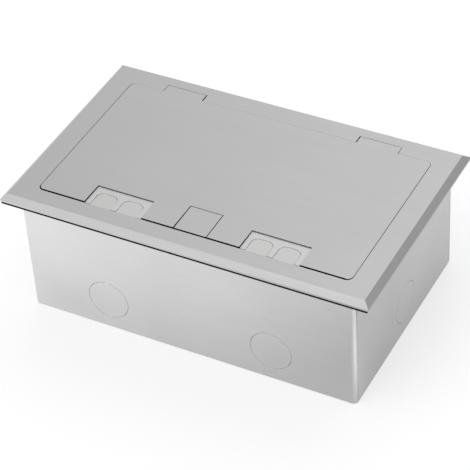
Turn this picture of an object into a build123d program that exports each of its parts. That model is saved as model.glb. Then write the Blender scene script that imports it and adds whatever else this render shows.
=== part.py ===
from build123d import *
from math import hypot
import os

# Stainless steel floor socket box. Millimetres, +Z up, front (cable outlets) at -Y,
# hinge side at +Y, origin below the centre of the trim frame, on the underside of the back box.

# ---------------------------------------------------------------- driving dimensions
# Back box, folded from sheet
box_length = 263.9
box_width = 170.5
overall_height = 104.0
box_sheet = 1.2
box_corner_radius = 3.8
box_foot_bevel = 0.6

# Conduit knock-outs, held by two webs each
knockout_diameter = 32.5
knockout_height = 27.0
knockout_spacing = 132.0
knockout_slot = 0.3
knockout_web = 3.0

# Fixing holes in the base
base_hole_diameter = 6.0
base_hole_spacing_x = 200.0
base_hole_spacing_y = 110.0

# Trim frame: bevelled flange, collar and ledge
flange_side_overhang = 13.05
flange_front_overhang = 6.2
flange_rear_overhang = 2.3
flange_sheet = 2.0
bevel_run = 4.7
bevel_drop = 3.75
lip_height = 1.5
rim_room = 0.3
gasket_height = 1.0
gasket_end_inset = 1.0
gasket_width = 2.0
collar_wall = 2.0
collar_side_space = 4.8
collar_front_space = 8.4
collar_rear_space = 15.2
ledge_thickness = 2.5
ledge_width = 6.0

# Frame screws and the lugs that they pull on
frame_screw_diameter = 4.0
frame_screw_head = 7.6
frame_screw_spacing_y = 90.0
frame_pad_inset = 9.0
frame_pad_half = 5.5
frame_lug_drop = 4.0
frame_lug_sheet = 2.0
frame_lug_width = 18.0
frame_lug_leg = 14.0
weld_nut_height = 3.5
weld_nut_width = 7.0
frame_screw_tip = 2.0

# Lid
lid_thickness = 3.0
lid_corner_radius = 4.5
lid_side_gap = 0.4
lid_front_gap = 1.2
lid_rear_gap = 0.3
lid_sweep_gap = 0.27
lid_sweep_angle = 60.0
seal_thickness = 0.7
seal_width = 3.0
seal_clearance = 0.3

# Lid hinge: two tabs with rolled knuckles
tab_inset = 26.9
tab_width = 32.6
tab_slot_gap = 0.9
tab_jog_gap = 0.3
tab_jog_radius = 1.0
hinge_setback = 5.0
hinge_drop = 2.2
hinge_sweep_gap = 0.3
hinge_pin_diameter = 2.5
hinge_lug_width = 5.0
hinge_lug_reach = 3.2
hinge_pin_seat = 4.0

# Stiffening pan under the lid
pan_sheet = 1.5
pan_side_gap = 3.0
pan_front_gap = 3.0
pan_rear_inset = 8.5
pan_edge_depth = 5.0
pan_corner_cut = 6.0
pan_bead_width = 9.0
pan_bead_depth = 1.5
pan_bead_shares = (0.3, 0.7)

# Lift handle, a rocking square in the front edge of the lid
handle_size = 25.7
handle_gap = 0.4
handle_pivot_inset = 7.6
handle_pivot_drop = 5.2
handle_pin_diameter = 2.5
handle_ear_width = 2.2
handle_ear_radius = 2.8
handle_ear_spacing = 17.0
handle_grip_width = 2.5
handle_grip_depth = 1.2
handle_spring_play = 1.0
handle_pin_stand_out = 0.5
bracket_sheet = 1.5
bracket_flange = 7.0
bracket_depth = 9.0
bracket_front_inset = 4.0

# Cable outlets: recessed inserts with two swinging doors each
outlet_gap = 26.05
outlet_width = 46.2
outlet_depth = 19.9
outlet_recess = 0.8
outlet_fit = 0.25
insert_sheet = 1.2
insert_flange_sheet = 1.6
insert_side_flange = 6.0
insert_rear_flange = 7.0
insert_front_step = 1.5
insert_depth = 5.4
door_width = 16.0
door_length = 15.1
door_spacing = 21.2
door_corner_radius = 5.0
door_gap = 0.35
door_recess = 0.3
door_sheet = 1.0
door_front_gap = 0.4
door_pivot_inset = 1.5
door_pivot_drop = 2.9
door_pin_diameter = 1.5
door_barrel_radius = 1.6
door_barrel_width = 6.0
door_spring_width = 3.6
door_spring_gap = 0.4
door_well_room = 0.6
door_barrel_heel = 1.44
door_pin_inset = 1.5

# Studs and nuts that hold the outlet inserts under the lid
stud_diameter = 3.0
stud_end = 1.0
nut_height = 2.4
nut_width = 5.5

# Accessory plate with its brackets
plate_height = 50.0
plate_sheet = 1.5
plate_side_gap = 1.5
plate_corner_radius = 5.0
plate_bracket_leg = 12.0
plate_bracket_length = 40.0
plate_bracket_spacing = 96.0
plate_screw_diameter = 4.0
plate_screw_head = 7.0
plate_screw_head_height = 2.4

# 45 mm accessory modules in one row on the plate
module_size = 45.0
module_gap = 2.0
module_row_y = 6.0
module_face_height = 3.0
module_face_wall = 1.8
module_edge_chamfer = 0.8
module_panel_margin = 3.5
module_panel_recess = 0.6
module_body_inset = 1.2
module_body_depth = 26.0
module_aperture_gap = 0.4
module_clip_width = 10.0
module_clip_reach = 1.1
module_clip_height = 6.0
module_clip_root = 0.5

# Blade slots of a socket: a two-pin pair above a three-pin group
slot_length = 7.2
slot_width = 2.2
two_pin_spacing = 12.7
two_pin_row = 11.0
three_pin_spacing = 15.8
three_pin_row = -4.5
three_pin_slant = 30.0
earth_row = -15.0
contact_sheet = 0.6
contact_length = 6.0
contact_height = 9.0
contact_depth = 12.0
contact_room = 0.4

# Push-in terminals below the contacts, each opened by a lever
wire_entry_width = 3.4
clamp_tab_width = 3.0
clamp_tab_length = 6.0
lever_width = 4.4
lever_length = 6.0
lever_recess = 4.0
lever_stand_out = 1.0
lever_offset = 5.4
lever_room = 0.2

# Data jacks in a module of their own
jack_width = 14.4
jack_length = 16.0
jack_depth = 22.0
jack_spacing = 19.0
jack_fit = 0.1
jack_cavity_width = 11.8
jack_cavity_length = 6.8
jack_cavity_depth = 14.0
jack_latch_width = 6.2
jack_latch_length = 2.4
jack_shoulder_reach = 1.5
jack_shoulder_height = 2.0
cap_skirt_depth = 12.0

# Sheet that keeps the power and data wiring apart
divider_sheet = 1.2
divider_foot = 14.0
divider_end_gap = 3.0
divider_top_gap = 1.5

# Earth stud in the base
earth_stud_diameter = 5.0
earth_stud_height = 20.0
earth_stud_inset_x = 24.0
earth_stud_inset_y = 20.0
earth_nut_width = 8.0
earth_nut_height = 4.0
earth_nut_gap = 2.0

# Coil springs
spring_wire = 0.6
spring_play = 0.15

# General fits, and how far cutting shapes run past a face
running_fit = 0.05
seat_fit = 0.02
screw_clearance = 0.25
overrun = 1.0

# ---------------------------------------------------------------- derived places
top = overall_height
flange_length = box_length + 2 * flange_side_overhang
flange_width = box_width + flange_front_overhang + flange_rear_overhang
lip_bottom = top - bevel_drop - lip_height
bevel_slope = hypot(bevel_run, bevel_drop)
bend_drop = flange_sheet * (bevel_slope - bevel_drop) / bevel_run
bend_run = flange_sheet * (bevel_slope - bevel_run) / bevel_drop
bend_height = top - bevel_drop - bend_drop
inner_run = bevel_run + bend_run - flange_sheet
box_front = flange_front_overhang - flange_width / 2
box_rear = flange_width / 2 - flange_rear_overhang
box_middle = (box_front + box_rear) / 2
box_rim = top - flange_sheet
inner_half_x = box_length / 2 - box_sheet
inner_front = box_front + box_sheet
inner_rear = box_rear - box_sheet

opening_side = inner_half_x - collar_side_space - collar_wall
opening_front = inner_front + collar_front_space + collar_wall
opening_rear = inner_rear - collar_rear_space - collar_wall
opening_radius = lid_corner_radius + lid_side_gap

lid_side = opening_side - lid_side_gap
lid_front = opening_front + lid_front_gap
lid_rear = opening_rear - lid_rear_gap
lid_bottom = top - lid_thickness
ledge_top = lid_bottom - seal_clearance - seal_thickness
ledge_bottom = ledge_top - ledge_thickness

hinge_y = lid_rear + hinge_setback
hinge_z = top - hinge_drop
knuckle_radius = hinge_drop
tab_centre = lid_side - tab_inset - tab_width / 2
hinge_pin_length = tab_width + tab_slot_gap + tab_jog_gap + 2 * hinge_pin_seat
tab_sweep_radius = hypot(knuckle_radius, hinge_drop) + hinge_sweep_gap

handle_rear = lid_front + handle_size
handle_pivot_y = handle_rear - handle_pivot_inset
handle_pivot_z = top - handle_pivot_drop
handle_sweep_radius = hypot(handle_pivot_inset, handle_pivot_drop) + handle_gap
cheek_inner = handle_size / 2 + handle_gap
cheek_outer = cheek_inner + bracket_sheet
bracket_side = cheek_outer + bracket_flange

outlet_centre = handle_size / 2 + outlet_gap + outlet_width / 2
outlet_rear = lid_front + outlet_depth
insert_top = top - outlet_recess
insert_bottom = insert_top - insert_depth
insert_side = outlet_width / 2 + insert_side_flange
door_top = insert_top - door_recess
door_front = opening_front + door_front_gap
door_rear = door_front + door_length
door_pivot_y = door_rear - door_pivot_inset
door_pivot_z = door_top - door_pivot_drop
door_pin_length = outlet_width - 2 * door_pin_inset
door_places = [side * outlet_centre + x for side in (-1, 1)
               for x in (-door_spacing / 2, door_spacing / 2)]
insert_stud_y = outlet_rear + insert_rear_flange / 2
insert_studs = [(side * outlet_centre + x, insert_stud_y) for side in (-1, 1)
                for x in (-outlet_width / 2, outlet_width / 2)]

window_gap = lid_side_gap
frame_screw_x = opening_side - frame_pad_inset
frame_screw_places = [(sx * frame_screw_x, sy * frame_screw_spacing_y / 2)
                      for sx in (-1, 1) for sy in (-1, 1)]
lug_top = ledge_bottom - frame_lug_drop
lug_bottom = lug_top - frame_lug_sheet

pan_side = frame_screw_x - frame_pad_half - pan_side_gap
pan_front = outlet_rear + insert_rear_flange + pan_front_gap
pan_rear = lid_rear - pan_rear_inset
bead_rows = [pan_front + (pan_rear - pan_front) * share for share in pan_bead_shares]
bead_length = 2 * (pan_side - pan_edge_depth - pan_bead_width)

plate_top = plate_height + plate_sheet
plate_half_x = inner_half_x - plate_side_gap
plate_front = inner_front + plate_side_gap
plate_rear = inner_rear - plate_side_gap
plate_screw_x = inner_half_x - plate_bracket_leg / 2
plate_screw_places = [(sx * plate_screw_x, sy * plate_bracket_spacing / 2)
                      for sx in (-1, 1) for sy in (-1, 1)]
module_pitch = module_size + module_gap
module_columns = [(i - 2) * module_pitch for i in range(5)]
socket_columns = module_columns[:3]
data_column = module_columns[3]
blank_column = module_columns[4]
module_body_size = module_size - 2 * module_body_inset
module_bottom = plate_top - module_body_depth

two_pin_x = two_pin_spacing / 2
three_pin_x = three_pin_spacing / 2
contact_groups = [
    [(-two_pin_x, two_pin_row, 0), (-three_pin_x, three_pin_row, -three_pin_slant)],
    [(two_pin_x, two_pin_row, 0), (three_pin_x, three_pin_row, three_pin_slant)],
    [(0, earth_row, 0)],
]
terminal_places = [(-two_pin_x, two_pin_row), (two_pin_x, two_pin_row), (0, earth_row)]
contact_width = slot_width + 2 * contact_sheet
contact_floor = plate_top - contact_depth

divider_x = (socket_columns[-1] + data_column) / 2
divider_front = inner_front + divider_end_gap
divider_rear = inner_rear - divider_end_gap
earth_x = -(inner_half_x - earth_stud_inset_x)
earth_y = inner_rear - earth_stud_inset_y


# ---------------------------------------------------------------- helpers
def slab(outline, bottom, thickness):
    """Raise a flat outline from a height."""
    return extrude(Plane.XY.offset(bottom) * outline, amount=thickness)


def span(x0, x1, y0, y1):
    """Rectangle between two pairs of edges."""
    return Pos((x0 + x1) / 2, (y0 + y1) / 2) * Rectangle(x1 - x0, y1 - y0)


def rounded_span(x0, x1, y0, y1, radius):
    """Rectangle between two pairs of edges, with round corners."""
    return Pos((x0 + x1) / 2, (y0 + y1) / 2) * RectangleRounded(x1 - x0, y1 - y0, radius)


def rod_x(x, y, z, radius, length):
    """Round bar along X, centred on a point."""
    return Pos(x, y, z) * Rot(0, 90, 0) * Cylinder(radius, length)


def rod_z(x, y, bottom, radius, length):
    """Round bar along Z, standing on a height."""
    return slab(Pos(x, y) * Circle(radius), bottom, length)


def coil(x, y, z, pin_diameter, length):
    """Closely wound spring round a pin, as a plain tube."""
    inner = pin_diameter / 2 + spring_play
    tube = rod_x(x, y, z, inner + spring_wire, length)
    return tube - rod_x(x, y, z, inner, length + 2 * overrun)


def hex_nut(x, y, bottom, width, height, bore):
    """Hexagon nut across flats `width`, bored through."""
    outline = RegularPolygon(width / 2, 6, major_radius=False) - Circle(bore)
    return slab(Pos(x, y) * outline, bottom, height)


def group(solids):
    """Several separate solids kept as one node."""
    return Compound(children=list(solids))


# ---------------------------------------------------------------- back box
def knockout_ring():
    """Slot of one knock-out: a ring left joined by a web above and below."""
    ring = Circle((knockout_diameter + knockout_slot) / 2) - Circle((knockout_diameter - knockout_slot) / 2)
    return ring - Rectangle(knockout_web, 2 * knockout_diameter)


def back_box():
    outline = rounded_span(-box_length / 2, box_length / 2, box_front, box_rear, box_corner_radius)
    shell = slab(outline, 0, box_rim)
    shell = chamfer(shell.faces().sort_by(Axis.Z)[0].edges(), box_foot_bevel)
    hollow = rounded_span(-inner_half_x, inner_half_x, inner_front, inner_rear,
                          box_corner_radius - box_sheet)
    shell -= slab(hollow, box_sheet, box_rim)
    below_bevel = flange_width / 2 - flange_sheet - inner_run - rim_room
    shell -= slab(span(-box_length, box_length, below_bevel, flange_width), bend_height - rim_room, top)
    for x in (-knockout_spacing / 2, knockout_spacing / 2):
        for y in (box_front, box_rear):
            wall = Plane(origin=(x, y, knockout_height), x_dir=(1, 0, 0), z_dir=(0, -1, 0))
            shell -= extrude(wall * knockout_ring(), amount=2 * box_sheet, both=True)
    for x in (-box_length / 2, box_length / 2):
        wall = Plane(origin=(x, box_middle, knockout_height), x_dir=(0, 1, 0), z_dir=(1, 0, 0))
        shell -= extrude(wall * knockout_ring(), amount=2 * box_sheet, both=True)
    for place in GridLocations(base_hole_spacing_x, base_hole_spacing_y, 2, 2):
        shell -= place * rod_z(0, box_middle, -box_sheet, base_hole_diameter / 2, 3 * box_sheet)
    return shell


def frame_lug(x, y):
    """Folded angle on the side wall, with a square weld nut under its flat leg."""
    side = 1 if x > 0 else -1
    reach = abs(x) - frame_pad_half
    leg = span(reach, inner_half_x, lug_bottom, lug_top)
    leg += span(inner_half_x - frame_lug_sheet, inner_half_x, lug_top - frame_lug_leg, lug_top)
    half = frame_lug_width / 2
    lug = extrude(Plane.XZ.offset(-half) * leg, amount=2 * half)
    lug += slab(Pos(abs(x), 0) * Rectangle(weld_nut_width, weld_nut_width),
                lug_bottom - weld_nut_height, weld_nut_height)
    lug -= rod_z(abs(x), 0, lug_bottom - 2 * weld_nut_height,
                 frame_screw_diameter / 2 + seat_fit, 4 * weld_nut_height)
    if side < 0:
        lug = mirror(lug, about=Plane.YZ)
    return Pos(0, y, 0) * lug


# ---------------------------------------------------------------- trim frame
def flange_dish():
    """Flange pressed from sheet: flat top, mitred bevel and short upright lip."""
    outer = slab(Rectangle(flange_length, flange_width), lip_bottom, lip_height)
    outer += loft([
        Plane.XY.offset(top - bevel_drop) * Rectangle(flange_length, flange_width),
        Plane.XY.offset(top) * Rectangle(flange_length - 2 * bevel_run, flange_width - 2 * bevel_run),
    ])
    inner_length = flange_length - 2 * flange_sheet
    inner_width = flange_width - 2 * flange_sheet
    hollow = slab(Rectangle(inner_length, inner_width), lip_bottom, bend_height - lip_bottom)
    hollow += loft([
        Plane.XY.offset(bend_height) * Rectangle(inner_length, inner_width),
        Plane.XY.offset(box_rim) * Rectangle(inner_length - 2 * inner_run, inner_width - 2 * inner_run),
    ])
    return outer - hollow


def ledge_outline():
    """Ledge round the opening, open at the front below the outlets and the handle."""
    ring = rounded_span(-opening_side - collar_wall, opening_side + collar_wall,
                        opening_front - collar_wall, opening_rear + collar_wall,
                        opening_radius + collar_wall)
    ring -= rounded_span(-opening_side + ledge_width, opening_side - ledge_width,
                         opening_front + ledge_width, opening_rear - ledge_width, opening_radius)
    for x, y in frame_screw_places:
        pad_wall = opening_side if x > 0 else -opening_side
        pad_end = x - frame_pad_half if x > 0 else x + frame_pad_half
        ring += span(min(pad_end, pad_wall), max(pad_end, pad_wall), y - frame_pad_half, y + frame_pad_half)
    for x in (-outlet_centre, outlet_centre):
        half = insert_side + window_gap
        ring -= span(x - half, x + half, opening_front, opening_front + 2 * ledge_width)
    half = bracket_side + window_gap
    ring -= span(-half, half, opening_front, opening_front + 2 * ledge_width)
    return ring


def tab_window(x):
    """Sides of the notch round one tab: a close jog outside, an open slot towards the middle."""
    close = tab_width / 2 + tab_jog_gap
    wide = tab_width / 2 + tab_slot_gap
    return (x - close, x + wide) if x < 0 else (x - wide, x + close)


def hinge_lugs(x):
    """Pair of lugs under the flange, either side of one hinge tab."""
    lugs = []
    for side, inner in zip((-1, 1), tab_window(x)):
        outer = inner + side * hinge_lug_width
        outline = span(min(inner, outer), max(inner, outer),
                       opening_rear + collar_wall / 2, hinge_y + hinge_lug_reach)
        bottom = hinge_z - hinge_lug_reach
        lugs.append(slab(outline, bottom, box_rim - bottom + flange_sheet / 2))
    return lugs


def trim_frame():
    frame = flange_dish()
    frame -= slab(rounded_span(-opening_side, opening_side, opening_front, opening_rear,
                               opening_radius), ledge_bottom, overall_height)
    collar = rounded_span(-opening_side - collar_wall, opening_side + collar_wall,
                          opening_front - collar_wall, opening_rear + collar_wall,
                          opening_radius + collar_wall)
    collar -= rounded_span(-opening_side, opening_side, opening_front, opening_rear, opening_radius)
    frame += slab(collar, ledge_bottom, box_rim - ledge_bottom + flange_sheet / 2)
    frame += slab(ledge_outline(), ledge_bottom, ledge_thickness)
    for x in (-tab_centre, tab_centre):
        for lug in hinge_lugs(x):
            frame += lug
    notched = rounded_span(-opening_side, opening_side, opening_front, opening_rear, opening_radius)
    for x in (-tab_centre, tab_centre):
        left, right = tab_window(x)
        notched += span(left, right, opening_rear - opening_radius, hinge_y)
        frame -= rod_x((left + right) / 2, hinge_y, hinge_z, tab_sweep_radius, right - left)
        frame -= rod_x((left + right) / 2, hinge_y, hinge_z, hinge_pin_diameter / 2 + seat_fit,
                       hinge_pin_length)
    jog = tab_centre + tab_width / 2 + tab_jog_gap
    corners = [v for v in notched.vertices() if hypot(abs(v.X) - jog, v.Y - opening_rear) < seat_fit]
    frame -= slab(fillet(corners, tab_jog_radius), ledge_top, top)
    for x, y in frame_screw_places:
        frame -= rod_z(x, y, ledge_bottom - overrun, frame_screw_diameter / 2 + screw_clearance,
                       ledge_thickness + 2 * overrun)
        frame -= countersink(x, y, screw_clearance)
    return frame


def flange_gasket():
    """Four foam strips under the lip, butted at the corners and set back at both ends."""
    side, edge = flange_length / 2 - gasket_end_inset, flange_width / 2
    inner = edge - gasket_width
    strips = [span(-side, side, -edge, -inner), span(-side, side, inner, edge),
              span(-side, gasket_width - side, -inner, inner), span(side - gasket_width, side, -inner, inner)]
    return group(slab(strip, lip_bottom - gasket_height, gasket_height) for strip in strips)


def countersink(x, y, clearance):
    """Cone of a countersunk head, flush with the ledge."""
    head = frame_screw_head / 2 + clearance
    shank = frame_screw_diameter / 2 + clearance
    return Pos(x, y, ledge_top - (head - shank) / 2) * Cone(shank, head, head - shank)


def frame_screw(x, y):
    tip = lug_bottom - weld_nut_height - frame_screw_tip
    head_depth = (frame_screw_head - frame_screw_diameter) / 2
    screw = rod_z(x, y, tip, frame_screw_diameter / 2, ledge_top - head_depth - tip)
    return screw + countersink(x, y, 0)


def lid_seal():
    """Soft strip on the ledge, interrupted where the ledge is open."""
    edge = (ledge_width - seal_width) / 2
    outer = rounded_span(-opening_side + edge, opening_side - edge, opening_front + edge,
                         opening_rear - edge, opening_radius)
    strip = outer - offset(outer, amount=-seal_width)
    return slab(strip & ledge_outline(), ledge_top, seal_thickness)


# ---------------------------------------------------------------- lid
def frame_edge_sweep():
    """What the rear edge of the opening sweeps as seen from the lid, which undercuts its rear edge."""
    beyond = span(-opening_side, opening_side, opening_rear - opening_radius, hinge_y - overrun)
    beyond -= rounded_span(-opening_side + lid_sweep_gap, opening_side - lid_sweep_gap, opening_front,
                           opening_rear - lid_sweep_gap, opening_radius - lid_sweep_gap)
    hinge = Axis((0, hinge_y, hinge_z), (1, 0, 0))
    return revolve(Plane.XY.offset(top) * beyond, hinge, lid_sweep_angle)


def lid_plate():
    outline = rounded_span(-lid_side, lid_side, lid_front, lid_rear, lid_corner_radius)
    tabs = [span(x - tab_width / 2, x + tab_width / 2, lid_rear - lid_corner_radius, hinge_y)
            for x in (-tab_centre, tab_centre)]
    lid = slab(outline, lid_bottom, lid_thickness)
    lid -= frame_edge_sweep()
    lid += slab(Sketch() + tabs, lid_bottom, lid_thickness)
    for x in (-tab_centre, tab_centre):
        end = span(x - tab_width / 2, x + tab_width / 2, hinge_y, hinge_y + knuckle_radius)
        lid += slab(end, hinge_z, hinge_drop)
        lid += rod_x(x, hinge_y, hinge_z, knuckle_radius, tab_width)
        lid -= rod_x(x, hinge_y, hinge_z, hinge_pin_diameter / 2 + running_fit,
                     tab_width + 2 * overrun)
    for x in (-outlet_centre, outlet_centre):
        half = outlet_width / 2
        lid -= slab(span(x - half, x + half, lid_front - overrun, outlet_rear), lid_bottom - overrun,
                    lid_thickness + 2 * overrun)
    half = handle_size / 2 + handle_gap
    lid -= slab(span(-half, half, lid_front - overrun, handle_pivot_y), lid_bottom - overrun,
                lid_thickness + 2 * overrun)
    lid -= rod_x(0, handle_pivot_y, handle_pivot_z, handle_sweep_radius, 2 * half)
    return lid


def lid_stiffener():
    """Pressed pan: flat web, folded edges and two long beads."""
    outline = span(-pan_side, pan_side, pan_front, pan_rear)
    outline = chamfer(outline.vertices(), pan_corner_cut)
    pan = slab(outline, lid_bottom - pan_sheet - pan_edge_depth, pan_sheet + pan_edge_depth)
    pan -= slab(offset(outline, amount=-pan_sheet), lid_bottom - pan_sheet - pan_edge_depth, pan_edge_depth)
    for y in bead_rows:
        bead = Pos(0, y) * SlotOverall(bead_length, pan_bead_width)
        groove = Pos(0, y) * SlotOverall(bead_length - 2 * pan_sheet, pan_bead_width - 2 * pan_sheet)
        pan += slab(bead, lid_bottom - pan_sheet - pan_bead_depth, pan_bead_depth)
        pan -= slab(groove, lid_bottom - pan_bead_depth, pan_bead_depth)
    return pan


def lid_studs():
    """Weld studs under the lid that carry the outlet inserts."""
    length = insert_flange_sheet + nut_height + stud_end
    return group(rod_z(x, y, lid_bottom - length, stud_diameter / 2, length) for x, y in insert_studs)


def stud_nuts():
    return group(hex_nut(x, y, lid_bottom - insert_flange_sheet - nut_height, nut_width, nut_height,
                         stud_diameter / 2 + seat_fit) for x, y in insert_studs)


# ---------------------------------------------------------------- lift handle
def lift_handle():
    half = handle_size / 2
    plate = slab(span(-half, half, lid_front, handle_rear), lid_bottom, lid_thickness)
    for x in (-handle_ear_spacing / 2, handle_ear_spacing / 2):
        ear = Pos(handle_pivot_y, handle_pivot_z) * Circle(handle_ear_radius)
        ear += span(handle_pivot_y - handle_ear_radius, handle_pivot_y + handle_ear_radius,
                    handle_pivot_z, lid_bottom)
        plate += extrude(Plane.YZ.offset(x - handle_ear_width / 2) * ear, amount=handle_ear_width)
    grip = span(lid_front, lid_front + handle_grip_width, lid_bottom - handle_grip_depth, lid_bottom)
    plate += extrude(Plane.YZ.offset(-half) * grip, amount=handle_size)
    plate -= rod_x(0, handle_pivot_y, handle_pivot_z, handle_pin_diameter / 2 + running_fit, handle_size)
    return plate


def handle_bracket():
    """Folded bracket: two flanges welded under the lid, two cheeks and a floor."""
    front = lid_front + bracket_front_inset
    rear = handle_pivot_y + handle_sweep_radius + handle_gap + bracket_sheet
    channel = span(-bracket_side, bracket_side, lid_bottom - bracket_sheet, lid_bottom)
    channel += span(-cheek_outer, cheek_outer, lid_bottom - bracket_depth, lid_bottom)
    channel -= span(-cheek_inner, cheek_inner, lid_bottom - bracket_depth + bracket_sheet, lid_bottom)
    bracket = extrude(Plane.XZ.offset(-rear) * channel, amount=rear - front)
    bracket += slab(span(-cheek_outer, cheek_outer, rear - bracket_sheet, rear),
                    lid_bottom - bracket_depth, bracket_depth)
    bracket -= slab(span(-cheek_inner, cheek_inner, front - overrun, handle_pivot_y - 2 * handle_ear_radius),
                    lid_bottom - 2 * bracket_depth, 2 * bracket_depth)
    bracket -= rod_x(0, handle_pivot_y, handle_pivot_z, handle_pin_diameter / 2 + seat_fit, 3 * handle_size)
    return bracket


def handle_pin():
    half_length = cheek_outer + handle_pin_stand_out
    return rod_x(0, handle_pivot_y, handle_pivot_z, handle_pin_diameter / 2, 2 * half_length)


def handle_spring():
    """Coil of the return spring, between the ears."""
    length = handle_ear_spacing - handle_ear_width - handle_spring_play
    return coil(0, handle_pivot_y, handle_pivot_z, handle_pin_diameter, length)


# ---------------------------------------------------------------- cable outlets
def door_outline(x, grow):
    """D-shaped outline of a cable door, open to the front edge."""
    half = door_width / 2 + grow
    radius = door_corner_radius + grow
    outline = rounded_span(x - half, x + half, door_front - 3 * radius, door_rear + grow, radius)
    return outline - span(x - half - overrun, x + half + overrun, door_front - 4 * radius, door_front)


def outlet_insert(centre):
    """Recessed insert with two arched ways, carried by flanges under the lid."""
    half = outlet_width / 2 - outlet_fit
    rear = outlet_rear - outlet_fit
    insert = slab(span(-half, half, lid_front, rear), insert_bottom, insert_depth)
    flange = span(-insert_side, insert_side, lid_front + insert_front_step, outlet_rear + insert_rear_flange)
    insert += slab(flange, lid_bottom - insert_flange_sheet, insert_flange_sheet)
    for x in (-door_spacing / 2, door_spacing / 2):
        room = door_width / 2 + door_gap
        way = door_outline(x, door_gap)
        way += span(x - room, x + room, door_front - door_gap, door_front + overrun)
        insert -= slab(way, insert_bottom - overrun, insert_depth + 2 * overrun)
        well = span(x - room, x + room, lid_front - overrun, door_rear + door_gap + door_well_room)
        insert -= slab(well, insert_bottom - overrun, insert_depth - insert_sheet + overrun)
    middle = door_spacing / 2 - door_width / 2
    insert -= slab(span(-middle, middle, door_pivot_y - door_pin_diameter, door_pivot_y + door_pin_diameter),
                   insert_bottom - overrun, door_pivot_z + door_pin_diameter - insert_bottom + overrun)
    insert -= rod_x(0, door_pivot_y, door_pivot_z, door_pin_diameter / 2 + seat_fit, door_pin_length)
    for x, y in insert_studs[2:]:
        insert -= rod_z(x - outlet_centre, y, lid_bottom - 2 * insert_flange_sheet,
                        stud_diameter / 2 + screw_clearance, 3 * insert_flange_sheet)
    return Pos(centre, 0, 0) * insert


def door_pin(centre):
    return rod_x(centre, door_pivot_y, door_pivot_z, door_pin_diameter / 2, door_pin_length)


def cable_door(x):
    """Small sheet door with a barrel under its rear edge."""
    door = slab(door_outline(x, 0), door_top - door_sheet, door_sheet)
    barrel = Pos(door_pivot_y, door_pivot_z) * Circle(door_barrel_radius)
    barrel += span(door_pivot_y - door_barrel_radius, door_pivot_y + door_barrel_heel,
                   door_pivot_z, door_top - door_sheet)
    door += extrude(Plane.YZ.offset(x - door_barrel_width / 2) * barrel, amount=door_barrel_width)
    door -= rod_x(x, door_pivot_y, door_pivot_z, door_pin_diameter / 2 + running_fit, door_width)
    return door


def door_springs():
    """Coils beside the barrels, one to a door."""
    aside = door_barrel_width / 2 + door_spring_gap + door_spring_width / 2
    return group(coil(x + aside, door_pivot_y, door_pivot_z, door_pin_diameter, door_spring_width)
                 for x in door_places)


# ---------------------------------------------------------------- accessory plate
def plate_bracket(x, y):
    """Folded angle on the side wall that carries a corner of the plate."""
    side = 1 if x > 0 else -1
    leg = span(inner_half_x - plate_bracket_leg, inner_half_x, plate_height - plate_sheet, plate_height)
    leg += span(inner_half_x - plate_sheet, inner_half_x, plate_height - plate_bracket_leg, plate_height)
    half = plate_bracket_length / 2
    bracket = extrude(Plane.XZ.offset(-half) * leg, amount=2 * half)
    bracket -= rod_z(abs(x), 0, plate_height - 2 * plate_sheet, plate_screw_diameter / 2 + seat_fit,
                     4 * plate_sheet)
    if side < 0:
        bracket = mirror(bracket, about=Plane.YZ)
    return Pos(0, y, 0) * bracket


def accessory_plate():
    plate = slab(rounded_span(-plate_half_x, plate_half_x, plate_front, plate_rear, plate_corner_radius),
                 plate_height, plate_sheet)
    hole = module_body_size + 2 * module_aperture_gap
    for x in module_columns:
        plate -= slab(Pos(x, module_row_y) * Rectangle(hole, hole), plate_height - overrun,
                      plate_sheet + 2 * overrun)
    for x, y in plate_screw_places:
        plate -= rod_z(x, y, plate_height - overrun, plate_screw_diameter / 2 + screw_clearance,
                       plate_sheet + 2 * overrun)
    return plate


def plate_screw(x, y):
    screw = rod_z(x, y, plate_height - 3 * plate_sheet, plate_screw_diameter / 2, 4 * plate_sheet)
    return screw + rod_z(x, y, plate_top, plate_screw_head / 2, plate_screw_head_height)


# ---------------------------------------------------------------- modules
def at_column(x, shape):
    return Pos(x, module_row_y, 0) * shape


def module_cap():
    """Hollow cap of a module: chamfered edge and a slightly sunk panel."""
    cap = slab(Rectangle(module_size, module_size), plate_top, module_face_height)
    cap = chamfer(cap.faces().sort_by(Axis.Z)[-1].edges(), module_edge_chamfer)
    panel = module_size - 2 * module_panel_margin
    cap -= slab(Rectangle(panel, panel), plate_top + module_face_height - module_panel_recess,
                module_face_height)
    return cap


def clips(depth_top):
    """Two wedge clips that catch under the edge of the plate."""
    edge = module_body_size / 2
    root = edge - module_clip_root
    tail = depth_top - module_clip_height
    wedge = Polyline((root, depth_top), (edge + module_clip_reach, depth_top), (edge, tail), (root, tail),
                     close=True)
    clip = extrude(Plane.YZ.offset(-module_clip_width / 2) * make_face(wedge), amount=module_clip_width)
    return [clip, mirror(clip, about=Plane.XZ)]


def socket_face():
    cap = module_cap()
    for pins in contact_groups:
        for x, y, slant in pins:
            slot = Pos(x, y) * Rot(0, 0, slant) * Rectangle(slot_width, slot_length)
            cap -= slab(slot, plate_top - overrun, 2 * module_face_height)
    return cap


def contact_pocket(pins, grow):
    """Plan outline shared by a contact and, grown, by the pocket that holds it."""
    outline = Sketch()
    for x, y, slant in pins:
        blade = Rectangle(contact_width + 2 * grow, contact_length + 2 * grow)
        outline += Pos(x, y) * Rot(0, 0, slant) * blade
    if len(pins) > 1:
        xs = [x for x, y, slant in pins]
        ys = [y for x, y, slant in pins]
        middle = sum(xs) / len(xs)
        reach = contact_width / 2 + grow
        outline += span(middle - reach, middle + reach, min(ys), max(ys))
    return outline


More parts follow.
